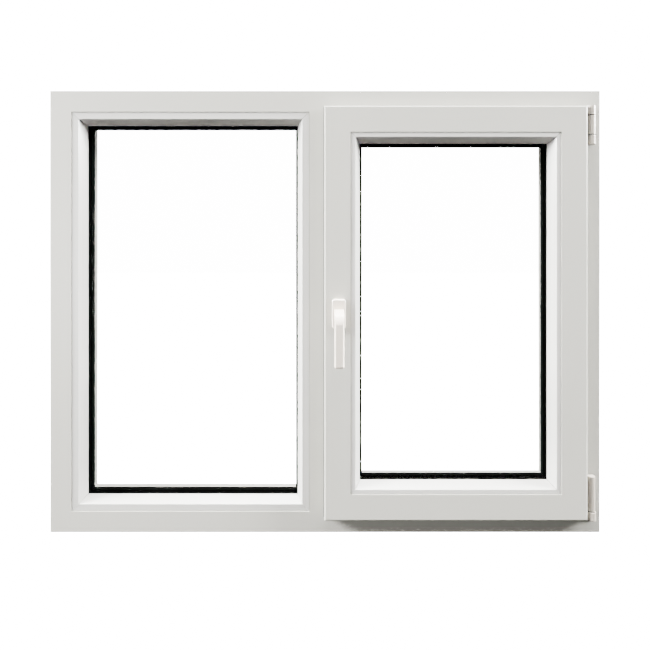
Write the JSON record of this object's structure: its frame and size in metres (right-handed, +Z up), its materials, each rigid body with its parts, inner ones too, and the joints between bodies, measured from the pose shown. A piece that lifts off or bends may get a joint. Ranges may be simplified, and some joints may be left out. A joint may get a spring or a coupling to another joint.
{
  "type": "casement window",
  "caption": "White plastic window with a fixed light and a tilt-and-turn sash, double glazed, with a lever handle, side hinges and its lock gear.",
  "frame": {"origin": "middle of the frame's bottom face", "axes": "+X to the right as seen from the room, +Y to the outside, +Z up"},
  "size_m": [1.245, 0.153, 1],
  "materials": {
    "pvc_white": "smooth satin white extrusion",
    "bead_white": "smooth satin white extrusion",
    "handle_white": "smooth white powder coat",
    "hinge_white": "smooth white covers",
    "gasket_black": "matt black rubber",
    "spacer_black": "black edge seal",
    "glass": "clear float glass",
    "galvanised": "dull zinc coat",
    "hardware_steel": "satin zinc plate",
    "screw_steel": "bright zinc plate",
    "packer_plastic": "moulded packer",
    "cap_plastic": "moulded white cap"
  },
  "bodies": {
    "frame": {"frame_head": "pvc_white", "frame_sill": "pvc_white", "frame_left_jamb": "pvc_white", "frame_right_jamb": "pvc_white", "mullion": "pvc_white", "frame_steel": "galvanised", "fixed_bead_top": "bead_white", "fixed_bead_bottom": "bead_white", "fixed_bead_left": "bead_white", "fixed_bead_right": "bead_white", "fixed_outer_pane": "glass", "fixed_inner_pane": "glass", "fixed_edge_seal": "spacer_black", "fixed_gaskets": "gasket_black", "fixed_packers": "packer_plastic", "frame_rebate_seal": "gasket_black", "strikers": "hardware_steel", "tilt_striker": "hardware_steel", "stay_bearing": "hardware_steel", "stay_bearing_caps": "hinge_white", "corner_bearing": "hardware_steel", "corner_bearing_cap": "hinge_white", "frame_screws": "screw_steel", "drain_caps": "cap_plastic"},
    "hinge_pins": {"stay_pin": "hardware_steel"},
    "sash": {"sash_top_rail": "pvc_white", "sash_bottom_rail": "pvc_white", "sash_left_stile": "pvc_white", "sash_right_stile": "pvc_white", "sash_steel": "galvanised", "sash_bead_top": "bead_white", "sash_bead_bottom": "bead_white", "sash_bead_left": "bead_white", "sash_bead_right": "bead_white", "sash_outer_pane": "glass", "sash_inner_pane": "glass", "sash_edge_seal": "spacer_black", "sash_gaskets": "gasket_black", "sash_packers": "packer_plastic", "sash_overlap_seal": "gasket_black", "faceplates": "hardware_steel", "stay_guide": "hardware_steel", "corner_drives": "hardware_steel", "gearbox_case": "hardware_steel", "sash_hinge": "hardware_steel", "sash_hinge_cap": "hinge_white", "handle_base": "hardware_steel", "handle_cover": "handle_white", "handle_screws": "screw_steel", "sash_screws": "screw_steel", "corner_pin": "hardware_steel"},
    "handle": {"handle_lever": "handle_white", "handle_spindle": "hardware_steel", "drive_pinion": "hardware_steel"},
    "drive_rod": {"drive_rod": "hardware_steel"},
    "top_rod": {"top_rod": "hardware_steel"},
    "bottom_rod": {"bottom_rod": "hardware_steel"},
    "stay_arm": {"stay_arm": "hardware_steel", "stay_arm_cap": "hinge_white"},
    "stay_link": {"stay_link": "hardware_steel"}
  },
  "joints": [
    {"name": "sash_turn", "type": "hinge", "parent": "frame", "child": "hinge_pins", "pos_m": [0.596, -0.047, 0.047], "axis": [0, 0, 1], "range_deg": [0, 90]},
    {"name": "sash_tilt", "type": "hinge", "parent": "hinge_pins", "child": "sash", "pos_m": [0.596, -0.047, 0.047], "axis": [1, 0, 0], "range_deg": [0, 8]},
    {"name": "handle_turn", "type": "hinge", "parent": "sash", "child": "handle", "pos_m": [0.0305, -0.068, 0.5], "axis": [0, -1, 0], "range_deg": [0, 180]},
    {"name": "drive_rod_slide", "type": "slide", "parent": "sash", "child": "drive_rod", "axis": [0, 0, -1], "range_m": [0, 0.02042]},
    {"name": "top_rod_slide", "type": "slide", "parent": "sash", "child": "top_rod", "axis": [-1, 0, 0], "range_m": [0, 0.0205]},
    {"name": "bottom_rod_slide", "type": "slide", "parent": "sash", "child": "bottom_rod", "axis": [1, 0, 0], "range_m": [0, 0.0205]},
    {"name": "stay_arm_swing", "type": "hinge", "parent": "hinge_pins", "child": "stay_arm", "pos_m": [0.596, -0.047, 0.047], "axis": [0, 0, 1], "range_deg": [0, 22.02]},
    {"name": "stay_link_swing", "type": "hinge", "parent": "stay_arm", "child": "stay_link", "pos_m": [0.376, -0.027, 0.943], "axis": [0, 0, 1], "range_deg": [-45.23, 0]}
  ],
  "couplings": [
    {"joint": "handle_turn", "follows": "drive_rod_slide", "rad_per_m": 153.85},
    {"joint": "top_rod_slide", "follows": "drive_rod_slide", "ratio": 1},
    {"joint": "bottom_rod_slide", "follows": "drive_rod_slide", "ratio": 1},
    {"joint": "stay_arm_swing", "follows": "sash_tilt", "ratio": 2.7395},
    {"joint": "stay_link_swing", "follows": "sash_tilt", "ratio": -5.6415}
  ]
}
